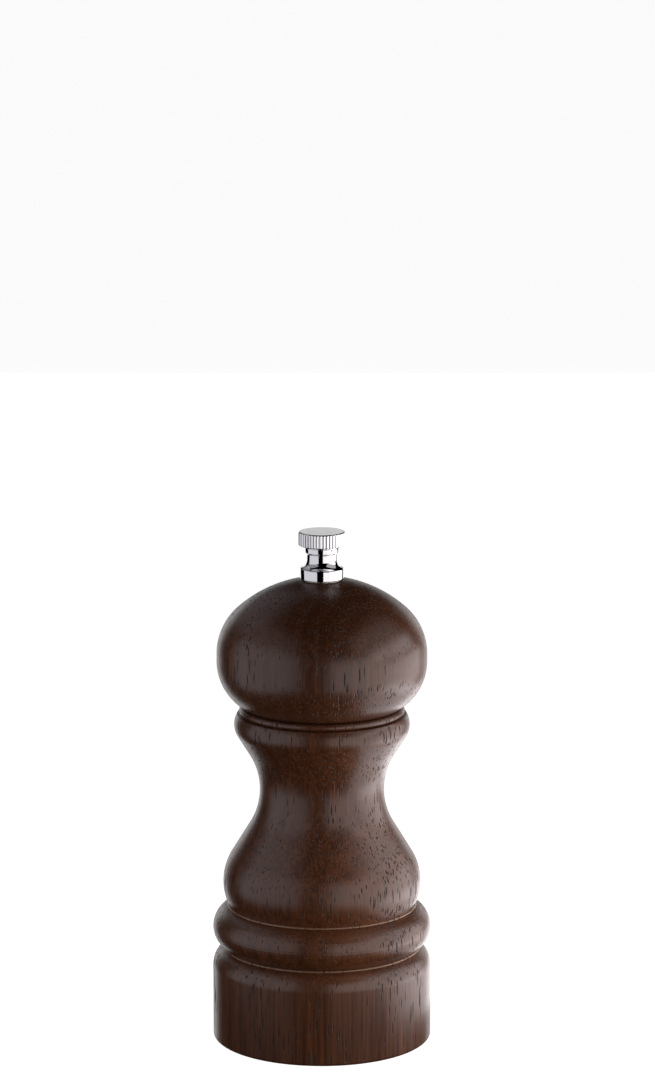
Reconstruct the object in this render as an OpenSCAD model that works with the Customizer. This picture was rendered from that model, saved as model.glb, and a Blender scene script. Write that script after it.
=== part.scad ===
// Pepper mill: a turned wooden body and head, a thumb nut on top, and a pair of steel burrs in the
// foot. The origin is the centre of the face the mill stands on, and +Z is up.

/* [Body outline] */
// Diameter of the foot
foot_d = 50.8; // [42:0.2:62]
// Height of the foot's plain wall, up to its rounded shoulder
foot_h = 17.3; // [14:0.1:22]
// Rounding of the foot's lower edge
foot_edge = 0.7; // [0.3:0.05:1.2]
// Rounding of the foot's shoulder
shoulder_round = 4.6; // [3.4:0.1:5.6]
// Diameter of the bead above the foot
bead_d = 50.7; // [42:0.1:62]
// Rounding of the bead
bead_round = 5.2; // [4.3:0.05:6.4]
// Depth of the two creases beside the bead
crease_depth = 2.6; // [2:0.1:3.2]
// Height of the fine ring in each crease
crease_ring = 0.5; // [0.3:0.02:0.7]
// Depth of the upper crease below the belly
belly_crease = 1.2; // [0.8:0.1:1.8]
// Diameter of the belly
belly_d = 45.9; // [38:0.1:56]
// Rounding of the belly
belly_round = 12.5; // [10:0.5:15]
// Height from the belly's widest line to the waist
belly_to_waist = 22; // [18:0.5:27]
// Length of the straight flank between belly and waist
belly_flank = 8.3; // [4:0.1:10]
// Diameter of the waist
waist_d = 28.8; // [24:0.1:35]
// Height from the waist to the collar's widest line
waist_to_collar = 15.4; // [12.5:0.1:19]
// Length of the straight flank between waist and collar
collar_flank = 5.3; // [3:0.1:7]
// Diameter of the collar
collar_d = 40.6; // [33.5:0.1:49]
// Rounding of the collar
collar_round = 4.6; // [3.6:0.1:5.6]
// Height from the collar's widest line to the line cut below the rim
collar_top = 2.45; // [2:0.05:2.9]
// Rounding of the rim on which the head turns
rim_round = 0.85; // [0.7:0.05:1.1]
// Depth of the line cut between collar and rim
rim_cut = 0.45; // [0.3:0.05:0.6]

/* [Head outline] */
// Diameter of the head
head_d = 48.6; // [40:0.1:58.5]
// Diameter of the head's lower face
head_foot_d = 36.5; // [30:0.1:44]
// Height from the head's lower face to its widest line
head_lower_h = 10.6; // [8.6:0.05:13]
// Height of the plain band at the head's widest line
head_band_h = 1.7; // [0.5:0.1:3]
// Rounding of the head's upper shoulder
head_upper_round = 13.8; // [11:0.1:16.8]
// Radius of the dome on top of the head
dome_r = 29.6; // [24.6:0.1:36]
// Diameter of the flat seat for the knob
knob_seat_d = 9.2; // [7.6:0.1:11]
// Clearance between the head's lower face and the body's rim
head_clear = 0.15; // [0.1:0.05:0.4]

/* [Bores in the wood] */
// Diameter of the hopper that holds the peppercorns
hopper_d = 21; // [17:0.5:24]
// Depth of the recess, from the foot's face to the mounting plate
recess_h = 10; // [8.2:0.1:12.2]
// Diameter of the head's tenon
tenon_d = 26.4; // [21.8:0.1:31.8]
// Length of the head's tenon
tenon_h = 7.3; // [6:0.1:8.8]
// Radial clearance of the tenon in the body's mouth
tenon_clear = 0.3; // [0.15:0.05:0.5]
// Clearance under the screws of the tenon's drive plate
tenon_floor_clear = 0.4; // [0.3:0.1:0.8]

/* [Burrs] */
// Wall of the female burr, outside the male burr's widest line
burr_wall = 2.8; // [2.2:0.05:3.5]
// Height of the female burr
burr_h = 10; // [8.2:0.1:12.2]
// Diameter of the male burr at its foot
male_d = 20.4; // [16.8:0.1:24.6]
// Height of the fine teeth on the male burr
fine_h = 4.4; // [3.6:0.05:5.4]
// Height of the coarse teeth on the male burr
coarse_h = 4.7; // [3.9:0.1:5.7]
// Half angle of the fine teeth
fine_angle = 20; // [16:1:24]
// Diameter of the male burr at its top
male_top_d = 10.6; // [9.4:0.1:12.8]
// Distance from the male burr's foot up to the female burr's foot, at the coarsest setting
male_drop = 2.8; // [2.2:0.1:3.4]
// Radial gap between the burrs at the finest setting
grind_gap = 0.1; // [0.08:0.01:0.2]
// Travel of the grind setting
grind_travel = 0.8; // [0.4:0.02:1]
// Number of fine teeth on each burr
fine_teeth = 36; // [28:1:44]
// Number of coarse teeth on each burr
coarse_teeth = 8; // [6:1:10]
// Depth of the fine teeth
fine_depth = 0.45; // [0.35:0.01:0.55]
// Depth of the coarse teeth
coarse_depth = 1.3; // [1:0.02:1.6]
// Slant of the male burr's coarse teeth
coarse_slant = 28; // [15:0.5:35]

/* [Mechanism] */
// Side of the square shaft
shaft_side = 4.8; // [4:0.05:5.8]
// Diameter of the threads on the shaft
thread_d = 4; // [3.3:0.05:4.8]
// Pitch of the threads
thread_pitch = 0.7; // [0.5:0.02:0.9]
// Length of the upper thread
thread_h = 12.6; // [10.4:0.1:15.2]
// Height of the hexagon nut
nut_h = 2.4; // [2:0.1:2.9]
// Width of the nut across its flats
nut_flats = 7; // [5.8:0.1:8.4]
// Thickness of the plain washers
washer_t = 0.4; // [0.3:0.05:0.5]
// Thickness of the mounting plate
plate_t = 1.2; // [1:0.1:1.5]
// Width of the plate's seat around the burr chamber, which takes the mounting screws
plate_seat = 6.2; // [5.1:0.05:7.5]
// Shank diameter of the mounting screws
mount_screw_d = 2.6; // [2.2:0.1:3.1]
// Length of the mounting screws
mount_screw_h = 10; // [8:0.1:12.2]
// Sheet thickness of the bridge
bridge_t = 1.2; // [1:0.1:1.5]
// Clear height under the bridge's spider
bridge_rise = 5; // [4.1:0.05:6.1]
// Width of the bridge's arms and legs
bridge_arm = 4; // [3.2:0.05:5]
// Outer diameter of the bush where it runs in the bridge
bush_d = 9.2; // [7.6:0.1:11.2]
// Radial running clearance of the bush
bush_clear = 0.05; // [0.03:0.01:0.08]
// Clearance of the square holes on the shaft, on each side
square_clear = 0.1; // [0.05:0.05:0.2]
// Wire diameter of the spring
wire_d = 0.8; // [0.6:0.02:1]
// Number of turns of the spring
spring_turns = 5; // [4:1:6]
// Diameter of the drive plate
drive_plate_d = 19.4; // [16:0.1:23.4]

/* [Knob] */
// Diameter of the knob's flange
knob_flange_d = 10.1; // [8.4:0.05:12.2]
// Height of the knob's flange
knob_flange_h = 2.6; // [2.1:0.05:3.2]
// Diameter of the knob's neck at its thinnest
knob_neck_d = 7; // [5.8:0.1:8.4]
// Height from the knob's flange to its collar
knob_neck_h = 3.2; // [2.6:0.05:3.9]
// Height of the knob's collar, between the neck and the cone
knob_collar_h = 1.5; // [1.2:0.1:1.8]
// Height of the cone under the rim
knob_cone_h = 0.6; // [0.4:0.1:0.8]
// Diameter of the knob's reeded rim
knob_rim_d = 10.8; // [9:0.1:13]
// Height of the knob's rim
knob_rim_h = 3.1; // [2.5:0.1:3.8]
// Number of reeds around the rim
reeds = 40; // [30:2:48]

/* [Hidden] */
$fn = 96;
arc_steps = 18;
// Overrun of a cut past the face that it opens
cut = 0.5;
// Clearance between still pieces that only have to slip together
slip = 0.02;

wood = [0.21, 0.11, 0.07];
polished = [0.85, 0.85, 0.87];
steel = [0.62, 0.63, 0.65];
burr_steel = [0.42, 0.42, 0.43];
brass = [0.78, 0.62, 0.32];

// Angle through which an arc turns, from its widest point to where it has come in by drop
function turn(radius, drop) = drop >= radius ? 90 : acos(1 - drop / radius);

// Points of an arc in the plane of the outline, from one angle to another
function arc(centre, radius, from, to) =
    [for (i = [0:arc_steps]) centre + radius * [
        cos(from + (to - from) * i / arc_steps),
        sin(from + (to - from) * i / arc_steps)]];

// Radius of the hollow arc of a waist that meets a round of radius `bulge` through a straight flank
function hollow_radius(step, rise, flank, bulge) =
    (step * step + rise * rise - flank * flank) / (2 * step) - bulge;

// Angle at which a bulge and a hollow meet their common flank
function flank_angle(step, rise, bulge, hollow) =
    let (across = bulge + hollow - step)
    atan2(rise, across) - acos((bulge + hollow) / norm([across, rise]));

// Body: radii and heights of the turned outline, from the foot up
foot_r = foot_d / 2;
bead_r = bead_d / 2;
belly_r = belly_d / 2;
waist_r = waist_d / 2;
collar_r = collar_d / 2;
ring_r = crease_ring / 2;
lower_crease_r = min(foot_r, bead_r) - crease_depth;
upper_crease_r = min(bead_r, belly_r) - belly_crease;
shoulder_turn = turn(shoulder_round, foot_r - lower_crease_r);
bead_lower_turn = turn(bead_round, bead_r - lower_crease_r);
bead_upper_turn = turn(bead_round, bead_r - upper_crease_r);
belly_lower_turn = turn(belly_round, belly_r - upper_crease_r);
lower_ring_z = foot_h + shoulder_round * sin(shoulder_turn) + ring_r;
bead_z = lower_ring_z + ring_r + bead_round * sin(bead_lower_turn);
upper_ring_z = bead_z + bead_round * sin(bead_upper_turn) + ring_r;
belly_z = upper_ring_z + ring_r + belly_round * sin(belly_lower_turn);
waist_z = belly_z + belly_to_waist;
collar_z = waist_z + waist_to_collar;
lower_hollow = hollow_radius(belly_r - waist_r, belly_to_waist, belly_flank, belly_round);
upper_hollow = hollow_radius(collar_r - waist_r, waist_to_collar, collar_flank, collar_round);
lower_flank = flank_angle(belly_r - waist_r, belly_to_waist, belly_round, lower_hollow);
upper_flank = flank_angle(collar_r - waist_r, waist_to_collar, collar_round, upper_hollow);
collar_turn = asin(collar_top / collar_round);
rim_r = collar_r - collar_round * (1 - cos(collar_turn)) - rim_cut;
rim_z = collar_z + collar_top + 2 * rim_round;

// Head: heights and the common tangent of its shoulder and dome
head_r = head_d / 2;
head_z = rim_z + head_clear;
head_low_z = head_z + head_lower_h;
head_high_z = head_low_z + head_band_h;
head_lower_drop = head_r - head_foot_d / 2;
head_lower_round = (head_lower_drop ^ 2 + head_lower_h ^ 2) / (2 * head_lower_drop);
head_lower_turn = 2 * atan2(head_lower_drop, head_lower_h);
head_upper_turn = acos((head_r - head_upper_round) / (dome_r - head_upper_round));
dome_z = head_high_z - (dome_r - head_upper_round) * sin(head_upper_turn);
knob_seat_r = knob_seat_d / 2;
knob_seat_turn = acos(knob_seat_r / dome_r);
knob_seat_z = dome_z + dome_r * sin(knob_seat_turn);
tenon_z = head_z - tenon_h;
tenon_r = tenon_d / 2;
hopper_r = hopper_d / 2;

// Mechanism: heights of the stack, from the recess up, and its widths, from the male burr out
plate_top = recess_h + plate_t;
burr_top = plate_top + burr_h;
male_z = plate_top - male_drop;
male_r = male_d / 2;
burr_r = male_r + burr_wall;
chamber_r = burr_r + 0.3;
recess_r = chamber_r + plate_seat;
mount_r = chamber_r + plate_seat / 2;
male_throat_r = male_r - fine_h * tan(fine_angle);
male_top_r = male_top_d / 2;
male_top = male_z + fine_h + coarse_h;
burr_clear = grind_gap + grind_travel * tan(fine_angle);
female_foot_r = male_r - male_drop * tan(fine_angle) + burr_clear;
female_fine_h = fine_h - male_drop + grind_travel;
female_throat_r = female_foot_r - female_fine_h * tan(fine_angle);
female_mouth_r = burr_r - 2;
plate_hole_r = male_r + 0.8;
plate_r = recess_r - 0.3;
lug_w = 3;
lug_r = burr_r - 1.2;
flange_top = burr_top + bridge_t;
bridge_z = flange_top + bridge_rise;
bridge_leg_r = hopper_r - 0.3;
bush_r = bush_d / 2;
bush_flange_t = 0.5;
bush_flange_r = bush_r + 0.7;
bush_top = bridge_z + bridge_t + 0.5;
thrust_z = bridge_z - bush_flange_t - washer_t;
seat_top = male_top + washer_t;
spring_r = shaft_side * 0.65 + wire_d + 0.25;
washer_r = spring_r + wire_d / 2 + 0.2;
shaft_corner_r = shaft_side * 0.65;
square_hole = shaft_side + 2 * square_clear;
square_hole_r = shaft_corner_r + square_clear;

// Upper end: knob, ferrule and thread
ferrule_wall = 0.8;
ferrule_bore_r = shaft_corner_r + 0.15;
ferrule_r = ferrule_bore_r + ferrule_wall;
ferrule_h = 9;
ferrule_flange_t = 0.4;
ferrule_flange_r = ferrule_r + 0.5;
ferrule_flange_z = knob_seat_z - ferrule_flange_t;
knob_washer_t = 0.2;
knob_washer_r = knob_flange_d / 2 - 0.6;
knob_z = knob_seat_z + knob_washer_t;
thread_r = thread_d / 2;
thread_core_r = thread_r - 0.6 * thread_pitch;
thread_clear = 0.06;
knob_bore_h = 8.4;
// The thread stops short of the knob's blind end by the travel and a little more
shaft_top = knob_z + knob_bore_h - grind_travel - 0.5;
square_top = shaft_top - thread_h;
nut_z = male_z - washer_t - nut_h;
shaft_foot = nut_z - 0.6;
total_h = knob_z + knob_flange_h + knob_neck_h + knob_collar_h + knob_cone_h + knob_rim_h;

// Fasteners: the countersunk heads are as deep as the plate is thick
mount_head_r = mount_screw_d / 2 + plate_t;
drive_screw_r = 0.9;
drive_head_r = 1.9;
drive_head_h = 1;
drive_screw_h = 6;
drive_r = (square_hole_r + drive_plate_d / 2) / 2;
drive_plate_z = tenon_z - plate_t;

module turned(outline)
{
    rotate_extrude()
        polygon(outline);
}

// Copies its children around the axis
module around(count, start = 0)
{
    for (i = [0:count - 1])
        rotate([0, 0, start + 360 * i / count])
            children();
}

module ring(r_out, r_in, z, h)
{
    translate([0, 0, z])
        difference() {
            cylinder(r = r_out, h = h);
            translate([0, 0, -cut])
                cylinder(r = r_in, h = h + 2 * cut);
        }
}

// Square bar with its corners rounded to a common circle
module square_bar(side, corner_r, z, h)
{
    translate([0, 0, z])
        intersection() {
            translate([-side / 2, -side / 2, 0])
                cube([side, side, h]);
            cylinder(r = corner_r, h = h);
        }
}

// Ridged round bar that stands for a thread
module thread(z, h)
{
    turns = floor(h / thread_pitch);
    pitch = h / turns;
    turned(concat(
        [[0, z]],
        [for (i = [0:turns - 1], end = [0, 1])
            [end == 0 ? thread_core_r : thread_r, z + pitch * (i + end / 2)]],
        [[thread_core_r, z + h], [0, z + h]]));
}

module body()
{
    foot = concat(
        [[0, 0]],
        arc([foot_r - foot_edge, foot_edge], foot_edge, -90, 0),
        arc([foot_r - shoulder_round, foot_h], shoulder_round, 0, shoulder_turn),
        arc([lower_crease_r, lower_ring_z], ring_r, -90, 90));
    bead = concat(
        arc([bead_r - bead_round, bead_z], bead_round, -bead_lower_turn, bead_upper_turn),
        arc([upper_crease_r, upper_ring_z], ring_r, -90, 90));
    waist = concat(
        arc([belly_r - belly_round, belly_z], belly_round, -belly_lower_turn, lower_flank),
        arc([waist_r + lower_hollow, waist_z], lower_hollow, 180 + lower_flank, 180),
        arc([waist_r + upper_hollow, waist_z], upper_hollow, 180, 180 - upper_flank));
    collar = concat(
        arc([collar_r - collar_round, collar_z], collar_round, -upper_flank, collar_turn),
        arc([rim_r - rim_round, rim_z - rim_round], rim_round, -60, 90),
        [[0, rim_z]]);
    color(wood)
        difference() {
            turned(concat(foot, bead, waist, collar));
            translate([0, 0, -cut])
                cylinder(r = recess_r, h = plate_top + cut);
            cylinder(r = chamber_r, h = flange_top);
            cylinder(r = hopper_r, h = total_h);
            translate([0, 0, drive_plate_z - drive_head_h - tenon_floor_clear])
                cylinder(r = tenon_r + tenon_clear, h = total_h);
            around(3)
                translate([mount_r, 0, 0])
                    cylinder(d = mount_screw_d + slip, h = recess_h + mount_screw_h + 0.5);
        }
}

module head()
{
    outline = concat(
        [[0, tenon_z], [tenon_r - 0.5, tenon_z], [tenon_r, tenon_z + 0.5], [tenon_r, head_z]],
        arc([head_r - head_lower_round, head_low_z], head_lower_round, -head_lower_turn, 0),
        arc([head_r - head_upper_round, head_high_z], head_upper_round, 0, head_upper_turn),
        arc([0, dome_z], dome_r, head_upper_turn, knob_seat_turn),
        [[0, knob_seat_z]]);
    color(wood)
        difference() {
            turned(outline);
            cylinder(r = shaft_corner_r + 0.5, h = total_h);
            translate([0, 0, knob_seat_z - ferrule_h])
                cylinder(r = ferrule_r, h = ferrule_h + cut);
            translate([0, 0, ferrule_flange_z])
                cylinder(r = ferrule_flange_r + slip, h = ferrule_flange_t + cut);
            around(3)
                translate([drive_r, 0, tenon_z - cut])
                    cylinder(r = drive_screw_r + slip, h = drive_screw_h + 1);
        }
}

module knob()
{
    flange_r = knob_flange_d / 2;
    neck_r = knob_neck_d / 2;
    rim_r = knob_rim_d / 2;
    reed_r = PI * rim_r / reeds * 1.08;
    neck_z = knob_z + knob_flange_h;
    neck_top = neck_z + knob_neck_h;
    cone_z = neck_top + knob_collar_h;
    rim_foot = cone_z + knob_cone_h;
    // The neck is a hollow arc that springs from just inside the flange's edge and ends upright
    flare_in = flange_r - 0.4 - neck_r;
    flare_h = knob_neck_h - 1.2;
    hollow = (flare_in ^ 2 + flare_h ^ 2) / (2 * flare_in);
    flare = 2 * atan2(flare_in, flare_h);
    outline = concat(
        arc([flange_r - 0.12, knob_z + 0.12], 0.12, -90, 0),
        arc([flange_r - 0.35, neck_z - 0.35], 0.35, 0, 90),
        arc([neck_r + hollow, neck_z + flare_h], hollow, 180 + flare, 180),
        [[neck_r, neck_top], [neck_r + 0.4, neck_top + 0.5], [neck_r + 0.4, cone_z],
            [rim_r - 0.15, rim_foot], [rim_r, rim_foot + 0.15],
            [rim_r, total_h - 0.25], [rim_r - 0.3, total_h]]);
    color(polished)
        difference() {
            intersection() {
                turned(concat([[0, knob_z]], outline, [[0, total_h]]));
                union() {
                    cylinder(r = rim_r - 0.8 * reed_r, h = total_h + cut);
                    around(reeds)
                        translate([rim_r - reed_r, 0, cone_z])
                            cylinder(r = reed_r, h = knob_cone_h + knob_rim_h + cut, $fn = 24);
                    cylinder(r = rim_r, h = cone_z);
                }
            }
            translate([0, 0, knob_z - cut])
                cylinder(r = thread_r + thread_clear, h = knob_bore_h + cut);
        }
}

module knob_washer()
{
    color(steel)
        ring(knob_washer_r, thread_r + 0.2, knob_seat_z, knob_washer_t);
}

module head_bush()
{
    color(brass)
        turned([
            [ferrule_bore_r, knob_seat_z - ferrule_h],
            [ferrule_r - slip, knob_seat_z - ferrule_h],
            [ferrule_r - slip, ferrule_flange_z],
            [ferrule_flange_r, ferrule_flange_z],
            [ferrule_flange_r, knob_seat_z],
            [ferrule_bore_r, knob_seat_z]]);
}

module drive_plate()
{
    color(steel)
        difference() {
            translate([0, 0, drive_plate_z])
                cylinder(d = drive_plate_d, h = plate_t);
            square_bar(square_hole, square_hole_r, drive_plate_z - cut, plate_t + 2 * cut);
            around(3)
                translate([drive_r, 0, drive_plate_z - cut])
                    cylinder(r = drive_screw_r + 0.15, h = plate_t + 2 * cut);
        }
}

module drive_plate_screws()
{
    color(steel)
        around(3)
            translate([drive_r, 0, drive_plate_z])
                difference() {
                    union() {
                        translate([0, 0, -drive_head_h])
                            cylinder(r = drive_head_r, h = drive_head_h);
                        cylinder(r = drive_screw_r, h = drive_screw_h);
                    }
                    translate([-0.25, -drive_head_r - cut, -drive_head_h - cut])
                        cube([0.5, 2 * (drive_head_r + cut), cut + 0.4]);
                }
}

module shaft()
{
    color(steel) {
        union() {
            square_bar(shaft_side, shaft_corner_r, male_z, square_top - male_z);
            thread(square_top - slip, shaft_top - square_top + slip);
            thread(shaft_foot, male_z - shaft_foot + slip);
        }
    }
}

module shaft_bush()
{
    color(brass)
        difference() {
            union() {
                translate([0, 0, bridge_z - bush_flange_t])
                    cylinder(r = bush_flange_r, h = bush_flange_t);
                translate([0, 0, bridge_z - slip])
                    cylinder(r = bush_r, h = bush_top - bridge_z);
            }
            square_bar(square_hole, square_hole_r, bridge_z - 1, bush_top - bridge_z + 2);
        }
}

module thrust_washer()
{
    color(steel)
        ring(washer_r, shaft_corner_r + 0.2, thrust_z, washer_t);
}

// Round wire wound along a helix, whose first and last half turns lie flat
module spring()
{
    wire_r = wire_d / 2;
    sides = 8;
    ring_count = 24 * spring_turns;
    low = seat_top + wire_r + 0.06;
    high = thrust_z - wire_r - slip;
    // Share of the rise reached at a share t of the winding
    function climb(t) =
        let (flat = 0.5 / spring_turns)
        t < flat ? 0 : t > 1 - flat ? 1 : (t - flat) / (1 - 2 * flat);
    function wire_point(i, side) =
        let (t = i / ring_count, a = 360 * spring_turns * t, b = 360 * side / sides)
        [(spring_r + wire_r * cos(b)) * cos(a), (spring_r + wire_r * cos(b)) * sin(a),
            low + (high - low) * climb(t) + wire_r * sin(b)];
    points = [for (i = [0:ring_count], side = [0:sides - 1]) wire_point(i, side)];
    walls = [for (i = [0:ring_count - 1], side = [0:sides - 1])
        let (next = (side + 1) % sides)
        [i * sides + side, (i + 1) * sides + side, (i + 1) * sides + next, i * sides + next]];
    first_end = [for (side = [0:sides - 1]) side];
    last_end = [for (side = [sides - 1:-1:0]) ring_count * sides + side];
    color(steel)
        polyhedron(points = points, faces = concat(walls, [first_end, last_end]));
}

module spring_seat()
{
    color(steel)
        ring(washer_r, shaft_corner_r + 0.2, male_top, washer_t);
}

// Row of three-sided grooves cut into a cone: each groove's floor line runs from the lower radius
// to the upper one, and its sides slope back towards the axis or away from it
module grooves(count, r_low, r_high, z_low, z_high, depth, side, slant = 0)
{
    rise = z_high - z_low;
    lean = atan2(r_high - r_low, rise);
    length = norm([rise, r_high - r_low]) + 2 * cut;
    width = 2 * PI * min(r_low, r_high) / count;
    around(count)
        translate([(r_low + r_high) / 2, 0, (z_low + z_high) / 2])
            rotate([slant, lean, 0])
                translate([0, 0, -length / 2])
                    linear_extrude(length)
                        polygon([[side * cut, width * 0.55], [side * cut, -width * 0.25],
                            [-side * depth, -width * 0.25]]);
}

module male_burr()
{
    fine_top = male_z + fine_h;
    color(burr_steel)
        difference() {
            turned([[0, male_z], [male_r - 0.4, male_z], [male_r, male_z + 0.4],
                [male_throat_r, fine_top], [male_top_r, male_top - 0.6],
                [male_top_r, male_top], [0, male_top]]);
            grooves(fine_teeth, male_r, male_throat_r, male_z, fine_top, fine_depth, 1);
            grooves(coarse_teeth, male_throat_r, male_top_r, fine_top, male_top - 0.6,
                coarse_depth, 1, coarse_slant);
            square_bar(shaft_side + 2 * slip, shaft_corner_r + slip, male_z - 1, fine_h + coarse_h + 2);
        }
}

module burr_washer()
{
    color(steel)
        ring(nut_flats / 2 + 1.3, thread_r + 0.1, male_z - washer_t, washer_t);
}

module burr_nut()
{
    color(steel)
        translate([0, 0, nut_z])
            difference() {
                intersection() {
                    cylinder(r = nut_flats / sqrt(3), h = nut_h, $fn = 6);
                    turned([[0, 0], [nut_flats / 2, 0], [nut_flats / 2 + 0.7, 0.4],
                        [nut_flats / 2 + 0.7, nut_h], [0, nut_h]]);
                }
                translate([0, 0, -cut])
                    cylinder(r = thread_r + slip, h = nut_h + 2 * cut);
            }
}

module female_burr()
{
    fine_top = plate_top + female_fine_h;
    color(burr_steel)
        difference() {
            union() {
                turned([[female_foot_r, plate_top], [burr_r, plate_top], [burr_r, burr_top],
                    [female_mouth_r, burr_top], [female_throat_r, fine_top]]);
                around(2)
                    translate([lug_r - lug_w / 2, -lug_w / 2, plate_top - plate_t * 0.7])
                        cube([lug_w / 2 + 1, lug_w, plate_t]);
            }
            grooves(fine_teeth, female_foot_r, female_throat_r, plate_top, fine_top, fine_depth, -1);
            grooves(coarse_teeth, female_throat_r, female_mouth_r, fine_top, burr_top,
                coarse_depth, -1);
        }
}

// Pressed from one sheet: a clamped rim, three legs, and a spider with the bush's bore
module bridge()
{
    hub_r = bush_flange_r + 0.6;
    color(steel)
        difference() {
            union() {
                ring(burr_r + 0.1, bridge_leg_r - 0.4, burr_top, bridge_t);
                intersection() {
                    around(3, 60)
                        translate([0, -bridge_arm / 2, burr_top])
                            cube([bridge_leg_r, bridge_arm, bridge_z + bridge_t - burr_top]);
                    ring(bridge_leg_r, bridge_leg_r - bridge_t, burr_top,
                        bridge_z + bridge_t - burr_top);
                }
                intersection() {
                    around(3, 60)
                        translate([0, -bridge_arm / 2, bridge_z])
                            cube([bridge_leg_r, bridge_arm, bridge_t]);
                    translate([0, 0, bridge_z])
                        cylinder(r = bridge_leg_r, h = bridge_t);
                }
                translate([0, 0, bridge_z])
                    cylinder(r = hub_r, h = bridge_t);
            }
            translate([0, 0, bridge_z - cut])
                cylinder(r = bush_r + bush_clear, h = bridge_t + 2 * cut);
        }
}

module mount_plate()
{
    color(steel)
        difference() {
            ring(plate_r, plate_hole_r, recess_h, plate_t);
            around(3)
                translate([mount_r, 0, recess_h]) {
                    translate([0, 0, -cut])
                        cylinder(d = mount_screw_d + 0.2, h = plate_t + 2 * cut);
                    translate([0, 0, -slip])
                        cylinder(r1 = mount_head_r + slip, r2 = 0, h = mount_head_r + slip);
                }
            around(2)
                translate([lug_r - lug_w / 2 - 0.1, -lug_w / 2 - 0.1, plate_top - plate_t * 0.7 - 0.1])
                    cube([lug_w / 2 + 1.2, lug_w + 0.2, plate_t]);
        }
}

module mount_screws()
{
    color(steel)
        around(3)
            translate([mount_r, 0, recess_h])
                difference() {
                    union() {
                        cylinder(r1 = mount_head_r, r2 = mount_screw_d / 2, h = plate_t);
                        cylinder(d = mount_screw_d, h = mount_screw_h - 1.5);
                        translate([0, 0, mount_screw_h - 1.5])
                            cylinder(d1 = mount_screw_d, d2 = 0.4, h = 1.5);
                    }
                    translate([-0.3, -mount_head_r - cut, -cut])
                        cube([0.6, 2 * (mount_head_r + cut), cut + 0.6]);
                }
}

body();
head();
knob();
knob_washer();
head_bush();
drive_plate();
drive_plate_screws();
shaft();
shaft_bush();
thrust_washer();
spring();
spring_seat();
male_burr();
burr_washer();
burr_nut();
female_burr();
bridge();
mount_plate();
mount_screws();
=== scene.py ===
"""Looks of the pepper mill: finishes, the finely detailed pieces, the stage and the camera.

Everything is in metres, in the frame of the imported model. MM turns a size in millimetres into metres.
"""

from math import atan2, cos, degrees, pi, radians, sin, tau

import bmesh
import bpy
from mathutils import Matrix, Vector

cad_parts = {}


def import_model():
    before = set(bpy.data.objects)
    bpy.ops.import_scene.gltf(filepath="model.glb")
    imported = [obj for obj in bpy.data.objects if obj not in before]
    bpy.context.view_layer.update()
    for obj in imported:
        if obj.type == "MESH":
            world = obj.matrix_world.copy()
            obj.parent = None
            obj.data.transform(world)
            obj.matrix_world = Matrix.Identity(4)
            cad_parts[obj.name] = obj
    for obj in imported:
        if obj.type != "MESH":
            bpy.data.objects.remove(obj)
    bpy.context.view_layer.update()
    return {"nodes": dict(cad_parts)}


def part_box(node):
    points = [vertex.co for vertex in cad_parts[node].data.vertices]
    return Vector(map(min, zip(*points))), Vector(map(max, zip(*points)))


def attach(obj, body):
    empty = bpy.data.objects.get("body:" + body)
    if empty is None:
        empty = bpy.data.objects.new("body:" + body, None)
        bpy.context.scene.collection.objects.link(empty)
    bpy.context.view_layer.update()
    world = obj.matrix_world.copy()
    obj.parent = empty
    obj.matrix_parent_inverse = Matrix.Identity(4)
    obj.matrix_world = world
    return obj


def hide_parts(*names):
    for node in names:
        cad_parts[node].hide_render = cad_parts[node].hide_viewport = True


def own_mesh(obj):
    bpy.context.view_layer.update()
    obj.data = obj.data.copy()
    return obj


MM = 0.001
WHITE = (1.0, 1.0, 1.0)

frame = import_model()


# ---- measures of the frame ----------------------------------------------------------------------

def reach(node, low, high):
    """Largest distance from the axis of a node's points between two heights."""
    points = (vertex.co for vertex in frame["nodes"][node].data.vertices)
    return max(point.xy.length for point in points if low <= point.z <= high)


def fine_rings(node):
    """Heights of the fine turned rings, each of which lies between two notches close together."""
    widest = {}
    for vertex in frame["nodes"][node].data.vertices:
        height = round(vertex.co.z, 5)
        widest[height] = max(widest.get(height, 0), vertex.co.xy.length)
    rows = sorted(widest.items())
    outside = [row for before, row, after in zip(rows, rows[1:], rows[2:])
               if row[1] > 0.85 * max(before[1], after[1])]
    notches = [row[0] for before, row, after in zip(outside, outside[1:], outside[2:])
               if row[1] < min(before[1], after[1])]
    return [(low + high) / 2 for low, high in zip(notches, notches[1:]) if high - low < 1 * MM]


# ---- materials ----------------------------------------------------------------------------------

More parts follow.
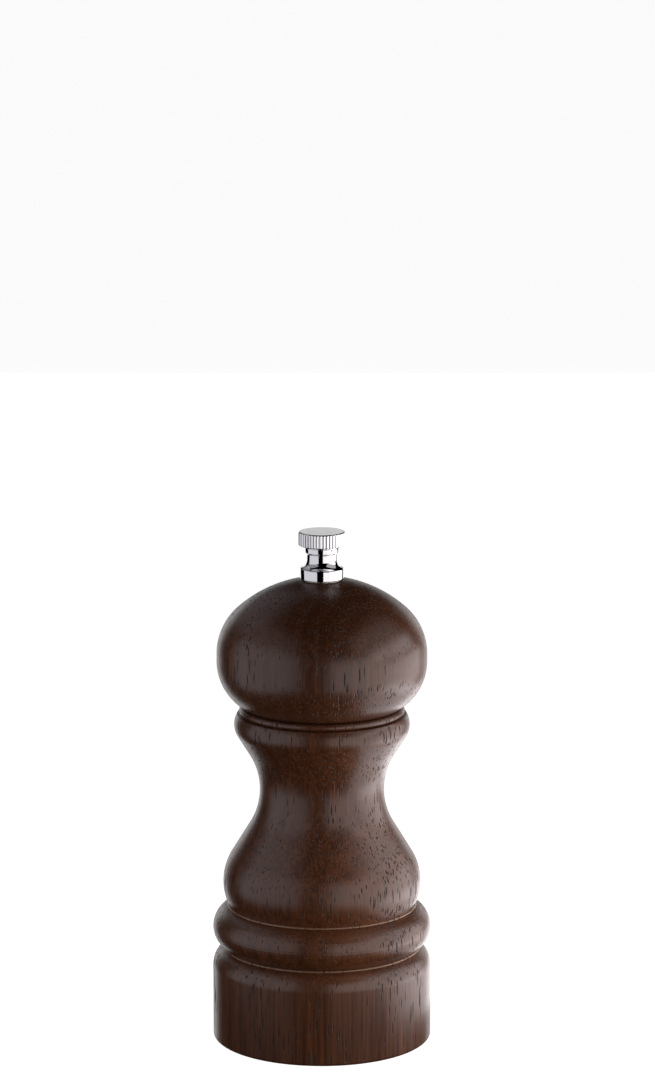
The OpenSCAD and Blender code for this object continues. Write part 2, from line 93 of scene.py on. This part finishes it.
class Shader:
    """A Principled material that is put together node by node."""

    def __init__(self, name, **sockets):
        self.material = bpy.data.materials.new(name)
        self.material.use_nodes = True
        self.tree = self.material.node_tree
        self.principled = self.tree.nodes["Principled BSDF"]
        for socket, value in sockets.items():
            self.put(self.principled.inputs[socket.replace("_", " ")], value)

    def put(self, socket, value):
        """Links or sets one input."""
        if isinstance(value, bpy.types.NodeSocket):
            self.tree.links.new(value, socket)
        else:
            socket.default_value = value

    def node(self, kind, inputs, output=0, **settings):
        """Adds a node and returns one of its outputs."""
        made = self.tree.nodes.new("ShaderNode" + kind)
        for key, value in settings.items():
            setattr(made, key, value)
        for socket, value in inputs.items():
            self.put(made.inputs[socket], value)
        return made.outputs[output]

    def place(self, scale=(1, 1, 1), shift=(0, 0, 0), turn=(0, 0, 0)):
        """The point on the piece, in metres, scaled, shifted and turned."""
        point = self.node("TexCoord", {}, "Object")
        inputs = {"Vector": point, "Location": shift, "Rotation": turn, "Scale": scale}
        return self.node("Mapping", inputs)

    def noise(self, vector, scale=1.0, detail=2.0, rough=0.5):
        inputs = {"Vector": vector, "Scale": scale, "Detail": detail, "Roughness": rough}
        return self.node("TexNoise", inputs, "Fac")

    def cells(self, vector):
        """Distance to the nearest of the points scattered one to a unit cell."""
        return self.node("TexVoronoi", {"Vector": vector, "Scale": 1.0}, "Distance")

    def maths(self, operation, *values):
        inputs = dict(enumerate(values))
        return self.node("Math", inputs, operation=operation)

    def span(self, value, low, high, to_low=0.0, to_high=1.0):
        """Maps a value from one span to another, and clamps it there."""
        inputs = {"Value": value, "From Min": low, "From Max": high, "To Min": to_low, "To Max": to_high}
        return self.node("MapRange", inputs, interpolation_type="SMOOTHSTEP")

    def blend(self, share, first, second):
        """Mixes two colours."""
        made = self.tree.nodes.new("ShaderNodeMix")
        made.data_type = "RGBA"
        colours = [socket for socket in made.inputs if socket.type == "RGBA"]
        self.put(made.inputs["Factor"], share)
        for socket, value in zip(colours, (first, second)):
            self.put(socket, value if isinstance(value, bpy.types.NodeSocket) else (*value, 1.0))
        return next(socket for socket in made.outputs if socket.type == "RGBA")

    def finish(self, colour=None, roughness=None, height=None, depth=0.0):
        """Connects the colour, the roughness, and a height that is depth metres high at 1."""
        if colour is not None:
            self.put(self.principled.inputs["Base Color"], colour)
        if roughness is not None:
            self.put(self.principled.inputs["Roughness"], roughness)
        if height is not None:
            bump = self.node("Bump", {"Height": height, "Distance": depth, "Strength": 1.0})
            self.put(self.principled.inputs["Normal"], bump)
        return self.material


def spacing(across, along):
    """Scale at which the cells are this many millimetres wide, and this many long along Z."""
    return (1 / (across * MM), 1 / (across * MM), 1 / (along * MM))


def stained_wood(name, tone, pith, lean, shift, rings_at=(), bores=()):
    """Dark-stained wood: growth rings around an upright pith, fibres, and open pores along Z."""
    dark, light, open_grain, ring_wear_and_highlight = tone
    ring_width = 4.2 * MM
    shader = Shader(name, IOR=1.5)

    wander = shader.noise(shader.place((60, 60, 12), shift), detail=2.0)
    from_pith = shader.place((1, 1, 0), pith, lean)
    radius = shader.node("VectorMath", {0: from_pith}, "Value", operation="LENGTH")
    rings = shader.maths("DIVIDE", radius, ring_width)
    rings = shader.maths("ADD", rings, shader.maths("MULTIPLY", wander, 1.6))
    ring = shader.maths("FRACT", rings)
    late_wood = shader.maths("MULTIPLY", shader.span(ring, 0.15, 0.85), shader.span(ring, 1.0, 0.9))

    fibre = shader.noise(shader.place(spacing(0.45, 22), shift), detail=3.0)
    cloud = shader.noise(shader.place((45, 45, 20), shift), detail=3.0, rough=0.6)
    shade = shader.maths("MULTIPLY", fibre, 0.75)
    shade = shader.maths("ADD", shade, shader.maths("MULTIPLY", cloud, 0.4))
    shade = shader.maths("SUBTRACT", shade, shader.maths("MULTIPLY", late_wood, 0.06))
    colour = shader.blend(shader.span(shade, 0.38, 0.74), dark, light)

    # The fine rings get a lighter colour, partly stain rubbed thin and partly a painted highlight of the
    # bright line of light they catch, and the bores have none
    height = shader.node("SeparateXYZ", {"Vector": shader.place()}, "Z")
    for ring_z in rings_at:
        away = shader.maths("ABSOLUTE", shader.maths("SUBTRACT", height, ring_z))
        # Painted highlight mixed with worn stain: a pale band centred on each fine ring
        colour = shader.blend(shader.span(away, 0.34 * MM, 0.14 * MM, 0.0, 0.55), colour, ring_wear_and_highlight)
    from_axis = shader.node("VectorMath", {0: shader.place((1, 1, 0))}, "Value", operation="LENGTH")
    for radius, top in bores:
        within = shader.maths("LESS_THAN", from_axis, radius)
        below = shader.maths("LESS_THAN", height, top)
        bare = shader.blend(shader.span(shade, 0.38, 0.74), *BARE_WOOD)
        colour = shader.blend(shader.maths("MULTIPLY", within, below), colour, bare)

    # Pores are thin upright tubes: dashes where the surface runs along them, dots where it cuts them
    crowd = shader.span(shader.noise(shader.place((90, 90, 25), shift)), 0.35, 0.65, 0.7, 1.3)
    room = shader.maths("SUBTRACT", 1.15, shader.maths("MULTIPLY", late_wood, 0.3))
    room = shader.maths("MULTIPLY", room, crowd)
    wide = shader.maths("DIVIDE", shader.cells(shader.place(spacing(1.05, 14), shift)), room)
    fine = shader.maths("DIVIDE", shader.cells(shader.place(spacing(0.7, 8), shift)), room)
    wide_pore = shader.span(wide, 0.17, 0.11)
    fine_pore = shader.span(fine, 0.23, 0.15, 0.0, 0.9)
    pore = shader.maths("MAXIMUM", wide_pore, fine_pore)
    colour = shader.blend(shader.maths("MULTIPLY", pore, 0.9), colour, open_grain)

    roughness = shader.span(fibre, 0.2, 0.8, 0.28, 0.36)
    roughness = shader.maths("ADD", roughness, shader.maths("MULTIPLY", pore, 0.6))
    relief = shader.maths("SUBTRACT", shader.maths("MULTIPLY", fibre, 0.15), pore)
    return shader.finish(colour, roughness, relief, 0.10 * MM)


def bright_chrome():
    """Polished plating, with faint hazy patches and polishing lines around the axis."""
    shader = Shader("bright_chrome", Metallic=1.0)
    haze = shader.noise(shader.place((300, 300, 300)), detail=3.0)
    lines = shader.noise(shader.place((120, 120, 9000)), detail=2.0)
    colour = shader.blend(haze, (0.62, 0.62, 0.63), (0.68, 0.68, 0.69))
    return shader.finish(colour, shader.span(haze, 0.3, 0.8, 0.045, 0.09), lines, 0.0004 * MM)


def worked_metal(name, low, high, roughness, grain, depth):
    """Plain metal with a directional grain.

    Low and high are its colours, and grain is the scale of its brushing along X, Y and Z.
    """
    shader = Shader(name, Metallic=1.0)
    brushing = shader.noise(shader.place(grain), detail=4.0, rough=0.65)
    stain = shader.noise(shader.place((140, 140, 140)), detail=3.0)
    colour = shader.blend(shader.span(stain, 0.3, 0.7), low, high)
    rough = shader.span(brushing, 0.25, 0.75, roughness - 0.07, roughness + 0.09)
    return shader.finish(colour, rough, brushing, depth)


# ---- pieces -------------------------------------------------------------------------------------

def lathe(name, outline, around, radius_at=None):
    """Turns an outline of (radius, height) points into a closed mesh.

    The outline starts and ends on the axis. radius_at may change a point's radius with its angle.
    """
    mesh = bmesh.new()
    rows = []
    for radius, height in outline:
        if radius < 1e-7:
            rows.append([mesh.verts.new((0, 0, height))] * around)
            continue
        row = []
        for step in range(around):
            angle = tau * step / around
            out = radius_at(radius, height, angle) if radius_at else radius
            row.append(mesh.verts.new((out * cos(angle), out * sin(angle), height)))
        rows.append(row)
    for low, high in zip(rows, rows[1:]):
        for step in range(around):
            after = (step + 1) % around
            corners = [low[step], low[after], high[after], high[step]]
            mesh.faces.new(dict.fromkeys(corners))
    return mesh_object(name, mesh)


def mesh_object(name, mesh, crease=radians(38)):
    """Smooth shading, with a hard edge wherever two faces meet at more than the crease angle."""
    bmesh.ops.recalc_face_normals(mesh, faces=mesh.faces)
    data = bpy.data.meshes.new(name)
    mesh.to_mesh(data)
    mesh.free()
    data.shade_smooth()
    data.set_sharp_from_angle(angle=crease)
    made = bpy.data.objects.new(name, data)
    bpy.context.scene.collection.objects.link(made)
    return made


def arc(centre, radius, start, end, steps=12):
    """Points of an arc in the plane of an outline, from one angle in degrees to another."""
    turns = [radians(start + (end - start) * step / steps) for step in range(steps + 1)]
    return [(centre[0] + radius * cos(turn), centre[1] + radius * sin(turn)) for turn in turns]


def climb(start, end, step):
    """Heights from start to end, about one step apart."""
    count = max(1, round((end - start) / step))
    return [start + (end - start) * index / count for index in range(count + 1)]


# An M4 thread
THREAD_PITCH = 0.7 * MM
THREAD_DEPTH = 0.6 * THREAD_PITCH


def threaded(radius, height, angle):
    """Radius of a right-handed V thread whose crests and roots are a little rounded."""
    phase = (height / THREAD_PITCH - angle / tau) % 1.0
    flank = min(1.0, max(0.0, 1.2 * abs(2 * phase - 1) - 0.1))
    return radius - THREAD_DEPTH * (1 - flank)


def knob():
    """The thumb nut: flange, hollow neck, collar, a rim of rounded reeds, and a plain bore for the
    shaft's thread.
    """
    low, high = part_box("knob")
    foot, top = low.z, high.z
    rim, flange, neck = high.x, reach("knob", foot, foot + 2 * MM), 3.5 * MM
    neck_foot, neck_top, cone_z, rim_foot = (foot + rise * MM for rise in (2.6, 5.8, 7.3, 7.9))
    flare_in, flare_h = flange - 0.4 * MM - neck, neck_top - neck_foot - 1.2 * MM
    hollow = (flare_in ** 2 + flare_h ** 2) / (2 * flare_in)
    flare = 2 * degrees(atan2(flare_in, flare_h))
    bore, bore_top = 2.06 * MM, foot + 8.4 * MM
    reeds, reed_depth = 40, 0.17 * MM

    inside = [(0, bore_top), (bore, bore_top)] + [(bore, foot + 0.4 * MM), (bore + 0.4 * MM, foot)]
    outside = arc((flange - 0.12 * MM, foot + 0.12 * MM), 0.12 * MM, -90, 0, 5)
    outside += arc((flange - 0.3 * MM, neck_foot - 0.3 * MM), 0.3 * MM, 0, 80, 8)
    outside += arc((neck + hollow, neck_foot + flare_h), hollow, 180 + flare, 180, 24)
    outside += arc((neck + 0.12 * MM, neck_top), 0.12 * MM, 180, 120, 4)
    outside += arc((neck + 0.28 * MM, neck_top + 0.5 * MM), 0.12 * MM, -50, 0, 4)
    outside += arc((neck + 0.32 * MM, cone_z - 0.08 * MM), 0.08 * MM, 0, 60, 3)
    outside += arc((rim - 0.2 * MM, rim_foot + 0.15 * MM), 0.2 * MM, -65, 0, 6)
    outside += [(rim, height) for height in climb(rim_foot + 0.3 * MM, top - 0.4 * MM, 0.2 * MM)]
    outside += arc((rim - 0.28 * MM, top - 0.28 * MM), 0.28 * MM, 0, 90, 8)
    outside += [(rim - share * rim, top) for share in (0.1, 0.4, 0.7, 1.0)]

    def reeded(radius, height, angle):
        """Rounded reeds that fade out over the cone and over the rounded upper edge.

        They narrow the upper end of the bore as well, since it lies at the same height.
        """
        fade = min(1.0, max(0.0, (height - cone_z) / (rim_foot - cone_z)))
        fade *= min(1.0, max(0.0, (top - 0.05 * MM - height) / (0.25 * MM)))
        return radius - reed_depth * fade * (1 - abs(sin(reeds * angle / 2)) ** 0.7)

    made = lathe("thumb_nut", inside + outside, 12 * reeds, reeded)
    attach(made, "knob")
    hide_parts("knob")
    made.data.materials.append(bright_chrome())


def shaft():
    """The square rod, with a real thread cut at each end."""
    low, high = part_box("shaft")
    side = high.x - low.x
    thread, corner = 2.0 * MM, 0.65 * side
    square_foot, square_top = square_span(side / 2)
    fine = THREAD_PITCH / 12

    outline = [(0, low.z)]
    outline += [(thread, height) for height in climb(low.z, square_foot, fine)]
    outline += [(corner, square_foot), (corner, square_foot + 0.2 * MM)]
    outline += [(corner, square_top - 0.2 * MM), (corner, square_top)]
    outline += [(thread, height) for height in climb(square_top, high.z, fine)]
    outline += [(0, high.z)]

    def cut(radius, height, angle):
        if radius > thread:
            turned = max(abs(cos(angle)), abs(sin(angle)))
            eased = 0.2 * MM - min(height - square_foot, square_top - height, 0.2 * MM)
            return min(side / 2 / turned, radius - eased)
        lead = min(height - low.z, high.z - height)
        return min(threaded(radius, height, angle), radius - THREAD_DEPTH + lead)

    made = lathe("threaded_shaft", outline, 96, cut)
    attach(made, "grinder")
    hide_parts("shaft")
    return made


def spring():
    """Round wire, wound between the two washers with a flat half turn at each end.

    It hangs from the upper washer.
    """
    low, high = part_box("spring")
    height = high.z - low.z
    wire = 0.4 * MM
    coil = high.x - wire
    turns, steps, sides = 5, 48 * 5, 14
    flat = 0.5 / turns

    mesh = bmesh.new()
    rows = []
    for step in range(steps + 1):
        share = step / steps
        angle = tau * turns * share
        rise = min(1.0, max(0.0, (share - flat) / (1 - 2 * flat)))
        middle = low.z + wire + (height - 2 * wire) * rise
        row = []
        for side in range(sides):
            around = tau * side / sides
            out = coil + wire * cos(around)
            row.append(mesh.verts.new((out * cos(angle), out * sin(angle), middle + wire * sin(around))))
        rows.append(row)
    for first, second in zip(rows, rows[1:]):
        for side in range(sides):
            after = (side + 1) % sides
            mesh.faces.new((first[side], second[side], second[after], first[after]))
    mesh.faces.new(rows[0])
    mesh.faces.new(rows[-1])

    made = mesh_object("coil_spring", mesh)
    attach(made, "drive")
    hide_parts("spring")
    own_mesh(made)
    return made


def square_span(half_side):
    """Lowest and highest height at which the shaft is square."""
    wide = [point.co.z for point in frame["nodes"]["shaft"].data.vertices
            if point.co.xy.length > half_side]
    return min(wide), max(wide)


# ---- stage --------------------------------------------------------------------------------------

def camera():
    """Stands in front of the mill, a little to the right, and looks down on it."""
    data = bpy.data.cameras.new("camera")
    data.lens = 143.18
    data.sensor_width = 36
    made = bpy.data.objects.new("camera", data)
    made.location = (0.0013, -0.9663, 0.3078)
    made.rotation_euler = (radians(90 - 11.12), 0, 0)
    bpy.context.scene.collection.objects.link(made)
    bpy.context.scene.camera = made


def panel(name, azimuth, width, low, high, radiance, colour=WHITE):
    """A lit card, whose lower and upper edges lie at (distance from the axis, height).

    Azimuth 0 is at the camera's side and 90 on the right.
    """
    turn = radians(azimuth)
    away = Vector((sin(turn), -cos(turn), 0))
    bottom, top = (away * distance + Vector((0, 0, height)) for distance, height in (low, high))
    up = (top - bottom).normalized()
    across = Vector((0, 0, 1)).cross(away)
    data = bpy.data.lights.new(name, "AREA")
    data.shape = "RECTANGLE"
    data.size, data.size_y = width, (top - bottom).length
    data.energy = radiance * pi * data.size * data.size_y
    data.color = colour
    made = bpy.data.objects.new(name, data)
    made.location = (bottom + top) / 2
    made.rotation_euler = Matrix((across, up, across.cross(up))).transposed().to_euler()
    made.visible_camera = False
    bpy.context.scene.collection.objects.link(made)


def floor_sheet():
    """A wide pale floor. The gloss doesn't mirror it, and the panels reach below it as well."""
    mesh = bmesh.new()
    bmesh.ops.create_circle(mesh, cap_ends=True, segments=96, radius=9.0)
    made = mesh_object("floor", mesh)
    made.location.z = -0.05 * MM
    shader = Shader("pale_floor", Roughness=0.9)
    shader.put(shader.principled.inputs["Emission Color"], (1, 1, 1, 1))
    shader.put(shader.principled.inputs["Emission Strength"], 0.96)
    paper = shader.noise(shader.place((40, 40, 40)))
    made.data.materials.append(shader.finish(shader.blend(paper, (0.5, 0.5, 0.5), (0.54, 0.54, 0.54))))
    made.visible_glossy = False
    made.visible_diffuse = False
    made.visible_shadow = False


def floor_glow():
    """Soft light that the floor throws up at the foot."""
    data = bpy.data.lights.new("floor_glow", "AREA")
    data.size = 0.26
    data.energy = 0.12 * pi * data.size ** 2
    made = bpy.data.objects.new("floor_glow", data)
    made.location = (0, 0, -0.002)
    made.rotation_euler = (pi, 0, 0)
    made.visible_camera = False
    made.visible_glossy = False
    bpy.context.scene.collection.objects.link(made)


def world():
    """A white surround that shows behind the mill and doesn't light it."""
    made = bpy.data.worlds.new("surround")
    made.use_nodes = True
    background = made.node_tree.nodes["Background"]
    background.inputs["Color"].default_value = (1, 1, 1, 1)
    background.inputs["Strength"].default_value = 1.0
    made.cycles_visibility.glossy = False
    made.cycles_visibility.diffuse = False
    bpy.context.scene.world = made
    bpy.context.scene.view_settings.view_transform = "Standard"


camera()
world()
floor_sheet()
floor_glow()
# Usual distance of a side card from the axis, and the height of its upper edge
NEAR = 0.17
TOP = 0.175
LEFT_LIGHT = (0.97, 0.955, 1.02)
RIGHT_LIGHT = (1.0, 0.955, 0.975)
# Lower and upper edge of the cards behind the mill, as (distance, height)
BACK_FOOT = (1.0, -0.7)
BACK_TOP = (1.0, 0.335)
panel("left_panel", -65, 0.285, (NEAR, -0.02), (NEAR, TOP), 0.95, LEFT_LIGHT)
panel("left_roof", -75, 0.26, (NEAR, TOP), (0.11, 0.25), 0.35, LEFT_LIGHT)
panel("right_front_panel", 22, 0.09, (0.19, -0.02), (0.19, 0.14), 1.5, RIGHT_LIGHT)
panel("right_middle_panel", 50, 0.09, (0.18, -0.02), (0.18, 0.14), 1.9, RIGHT_LIGHT)
panel("right_side_panel", 97, 0.17, (NEAR, -0.03), (NEAR, 0.10), 2.8, RIGHT_LIGHT)
panel("right_upper_panel", 86, 0.19, (NEAR, 0.115), (NEAR, 0.165), 2.8, RIGHT_LIGHT)
panel("right_core_panel", 97, 0.22, (NEAR, 0.03), (NEAR, 0.085), 2.2, RIGHT_LIGHT)
panel("right_roof", 78, 0.22, (NEAR, 0.16), (0.11, 0.25), 0.6, RIGHT_LIGHT)
panel("right_table", 115, 0.22, (0.040, 0), (0.20, 0), 1.8, RIGHT_LIGHT)
panel("right_far_table", 115, 0.26, (0.062, 0), (0.20, 0), 2.0, RIGHT_LIGHT)
panel("left_back_panel", -140, 0.4, (0.5, 0.30), (0.4, 0.65), 0.35, LEFT_LIGHT)
panel("back_panel", 180, 0.73, BACK_FOOT, BACK_TOP, 0.75)
panel("back_left_panel", 206, 0.28, BACK_FOOT, BACK_TOP, 1.3)
panel("back_right_panel", 154, 0.28, BACK_FOOT, BACK_TOP, 1.3)

# Colours of the stained wood: its darkest and lightest fibres, its open pores, and its fine rings,
# lighter as worn stain and as a painted highlight
# Pale colour of the fine rings: worn stain together with a painted highlight
RING_WEAR_AND_HIGHLIGHT = (0.27, 0.15, 0.085)
BODY_TONE = (0.044, 0.0135, 0.0048), (0.100, 0.0330, 0.0110), (0.012, 0.006, 0.004), RING_WEAR_AND_HIGHLIGHT
HEAD_TONE = (0.038, 0.0120, 0.0044), (0.088, 0.0290, 0.0098), (0.011, 0.005, 0.003), RING_WEAR_AND_HIGHLIGHT

# Darkest and lightest fibres of the unstained wood in the bores
BARE_WOOD = (0.22, 0.115, 0.052), (0.36, 0.21, 0.105)

body_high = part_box("body")[1]
head_low, head_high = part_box("head")
plate_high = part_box("mount_plate")[1]
mouth = reach("head", head_low.z, head_low.z + 5 * MM) + 0.5 * MM
recess = plate_high.x + 0.5 * MM
body_bores = ((mouth, head_high.z), (recess, plate_high.z + 0.1 * MM))
head_bores = ((mouth, body_high.z - 0.3 * MM), (4.5 * MM, head_high.z))

finishes = {
    "body": stained_wood("body_wood", BODY_TONE, (0.031, -0.018, 0), (0.10, 0.06, 0), (3.1, 1.7, 0.4),
                         fine_rings("body"), body_bores),
    "head": stained_wood("head_wood", HEAD_TONE, (-0.024, 0.029, 0), (-0.07, 0.05, 0), (7.9, 4.3, 2.2),
                         (), head_bores),
}
steel = worked_metal("plain_steel", (0.46, 0.46, 0.47), (0.56, 0.56, 0.57),
                     0.30, (2500, 2500, 300), 0.002 * MM)
burr = worked_metal("burr_steel", (0.28, 0.28, 0.29), (0.38, 0.38, 0.39),
                    0.42, (1500, 1500, 1500), 0.006 * MM)
brass = worked_metal("brass", (0.66, 0.48, 0.20), (0.74, 0.56, 0.26),
                     0.26, (400, 400, 4000), 0.002 * MM)
for name in ("male_burr", "female_burr"):
    finishes[name] = burr
for name in ("head_bush", "shaft_bush"):
    finishes[name] = brass
for name, node in frame["nodes"].items():
    node.data.materials.clear()
    node.data.materials.append(finishes.get(name, steel))

knob()
for piece in (shaft(), spring()):
    piece.data.materials.append(steel)
